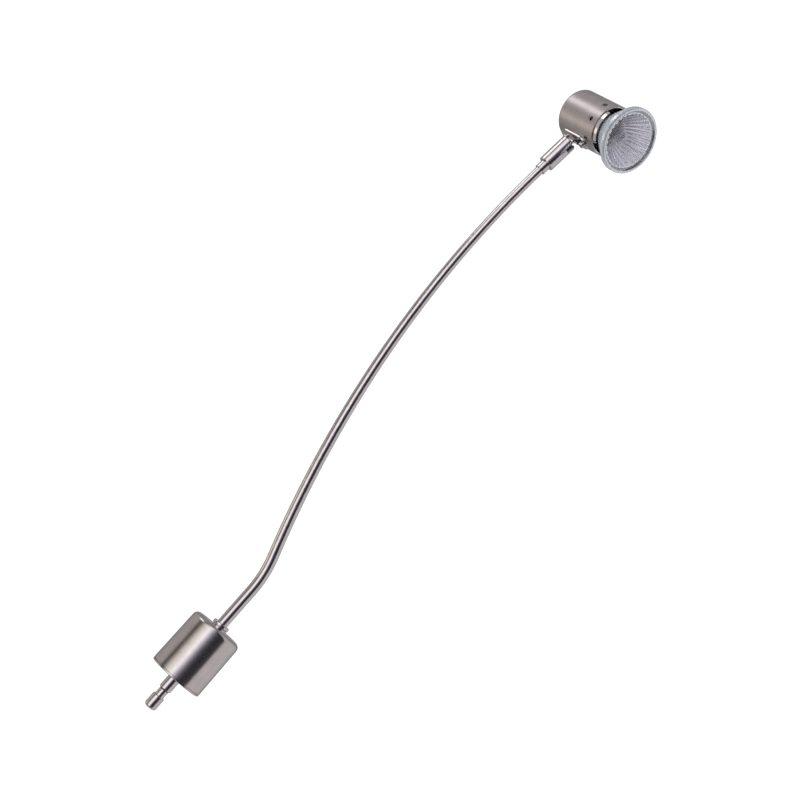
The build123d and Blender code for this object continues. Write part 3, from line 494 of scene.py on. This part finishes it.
BANDS = [
    (-180, (0.34, 0.33, 0.34)),
    (-160, (0.30, 0.29, 0.30)),
    (-148, (0.26, 0.25, 0.25)),
    (-138, (0.44, 0.41, 0.41)),
    (-106, (0.52, 0.47, 0.47)),
    (-86, (0.44, 0.39, 0.39)),
    (-76, (0.09, 0.075, 0.07)),
    (-70, (0.11, 0.095, 0.09)),
    (-62, (0.36, 0.33, 0.31)),
    (-50, (0.95, 0.88, 0.83)),
    (-35, (1.35, 1.27, 1.22)),
    (-22, (1.70, 1.68, 1.74)),
    (-11, (0.92, 0.88, 1.00)),
    (0, (0.28, 0.26, 0.33)),
    (12, (0.07, 0.06, 0.08)),
    (25, (0.025, 0.022, 0.03)),
    (48, (0.04, 0.035, 0.038)),
    (53, (0.08, 0.06, 0.07)),
    (57, (0.66, 0.60, 0.63)),
    (75, (0.72, 0.67, 0.69)),
    (110, (0.70, 0.66, 0.67)),
    (140, (0.55, 0.54, 0.55)),
    (152, (0.28, 0.28, 0.29)),
    (180, (0.34, 0.33, 0.34)),
]
HEIGHTS = [
    (-1.0, (0.75, 0.73, 0.70)),
    (-0.6, (1.0, 0.98, 0.95)),
    (0.0, (1.0, 1.0, 1.0)),
    (0.6, (0.95, 0.95, 0.97)),
    (1.0, (0.80, 0.80, 0.84)),
]


CAMERA_PLACE = Vector((-0.47748, -1.20214, 0.11110))
CAMERA_AZIMUTH = -21.7
CAMERA_YAW = -21.188
CAMERA_RISE = 6.458
CAMERA_ROLL = 41.427
CAMERA_LENS = 79.83


def add_camera():
    """Camera at the photograph's angle, rolled so that the stem rises to the right."""
    yaw = math.radians(CAMERA_YAW)
    rise = math.radians(CAMERA_RISE)
    roll = math.radians(CAMERA_ROLL)
    forward = Vector(
        (-math.sin(yaw) * math.cos(rise), math.cos(yaw) * math.cos(rise), math.sin(rise))
    )
    level = forward.cross(Vector((0, 0, 1))).normalized()
    upright = level.cross(forward)
    right = level * math.cos(roll) + upright * math.sin(roll)
    up = upright * math.cos(roll) - level * math.sin(roll)
    matrix = Matrix((right, up, -forward)).transposed().to_4x4()
    matrix.translation = CAMERA_PLACE
    data = bpy.data.cameras.new("camera")
    data.lens = CAMERA_LENS
    data.sensor_width = 36.0
    camera = bpy.data.objects.new("camera", data)
    camera.matrix_world = matrix
    bpy.context.scene.collection.objects.link(camera)
    bpy.context.scene.camera = camera


def band_ramp(tree, stops, turn_from, value):
    """Colours along a turn in degrees. Each stop is an angle and a colour."""
    spread = tree.nodes.new("ShaderNodeMapRange")
    spread.inputs["From Min"].default_value = turn_from
    spread.inputs["From Max"].default_value = -turn_from
    ramp = tree.nodes.new("ShaderNodeValToRGB")
    elements = ramp.color_ramp.elements
    span = stops[-1][0] - stops[0][0]
    for element, (angle, colour) in zip(elements, (stops[0], stops[-1])):
        element.position = (angle - stops[0][0]) / span
        element.color = (*colour, 1.0)
    for angle, colour in stops[1:-1]:
        element = elements.new((angle - stops[0][0]) / span)
        element.color = (*colour, 1.0)
    tree.links.new(value, spread.inputs["Value"])
    tree.links.new(spread.outputs["Result"], ramp.inputs["Fac"])
    return ramp.outputs["Color"]


def shaded(tree, bands, heights, turn, rise):
    """Bands round the room, dimmed by height."""
    shade = tree.nodes.new("ShaderNodeMix")
    shade.data_type = "RGBA"
    shade.blend_type = "MULTIPLY"
    shade.inputs[0].default_value = 1.0
    tree.links.new(band_ramp(tree, bands, -math.pi, turn), shade.inputs[6])
    tree.links.new(band_ramp(tree, heights, -1.0, rise), shade.inputs[7])
    return shade.outputs[2]


def add_world():
    """White surroundings. Reflections and glass see a room with upright bands instead.

    The bands were set so that the metal's stripes fall where the photograph has them.
    """
    world = bpy.data.worlds.new("studio")
    world.use_nodes = True
    tree = world.node_tree
    background = tree.nodes["Background"]
    path = tree.nodes.new("ShaderNodeLightPath")
    coordinates = tree.nodes.new("ShaderNodeTexCoord")
    turn = tree.nodes.new("ShaderNodeMapping")
    turn.inputs["Rotation"].default_value = (0.0, 0.0, math.radians(90.0 - CAMERA_AZIMUTH))
    axes = tree.nodes.new("ShaderNodeSeparateXYZ")
    around = tree.nodes.new("ShaderNodeMath")
    around.operation = "ARCTAN2"
    tree.links.new(coordinates.outputs["Generated"], turn.inputs["Vector"])
    tree.links.new(turn.outputs["Vector"], axes.inputs["Vector"])
    tree.links.new(axes.outputs["Y"], around.inputs[0])
    tree.links.new(axes.outputs["X"], around.inputs[1])
    room = shaded(tree, BANDS, HEIGHTS, around.outputs["Value"], axes.outputs["Z"])
    mix = tree.nodes.new("ShaderNodeMix")
    mix.data_type = "RGBA"
    mix.inputs[6].default_value = SURROUND_WHITE
    reflected = tree.nodes.new("ShaderNodeMath")
    reflected.operation = "MAXIMUM"
    tree.links.new(path.outputs["Is Glossy Ray"], reflected.inputs[0])
    tree.links.new(path.outputs["Is Transmission Ray"], reflected.inputs[1])
    tree.links.new(reflected.outputs["Value"], mix.inputs["Factor"])
    tree.links.new(room, mix.inputs[7])
    tree.links.new(mix.outputs[2], background.inputs["Color"])
    bpy.context.scene.world = world
    bpy.context.scene.view_settings.view_transform = "Standard"


# ------------------------------------------------------------------ build
materials = make_materials()
materials["mirror_coat"] = mirror_coat()
dress_cad_nodes(materials)
build_reflector(materials)
build_filament(materials)
add_floor()
add_panel("side_softbox", PANEL_DISTANCE, (-102, -72), (0.72, 1.36), (2.1, 2.0, 2.08))
add_panel("low_softbox", PANEL_DISTANCE, (-112, -78), (-1.0, -0.15), (1.15, 1.04, 0.96))
add_world()
add_camera()
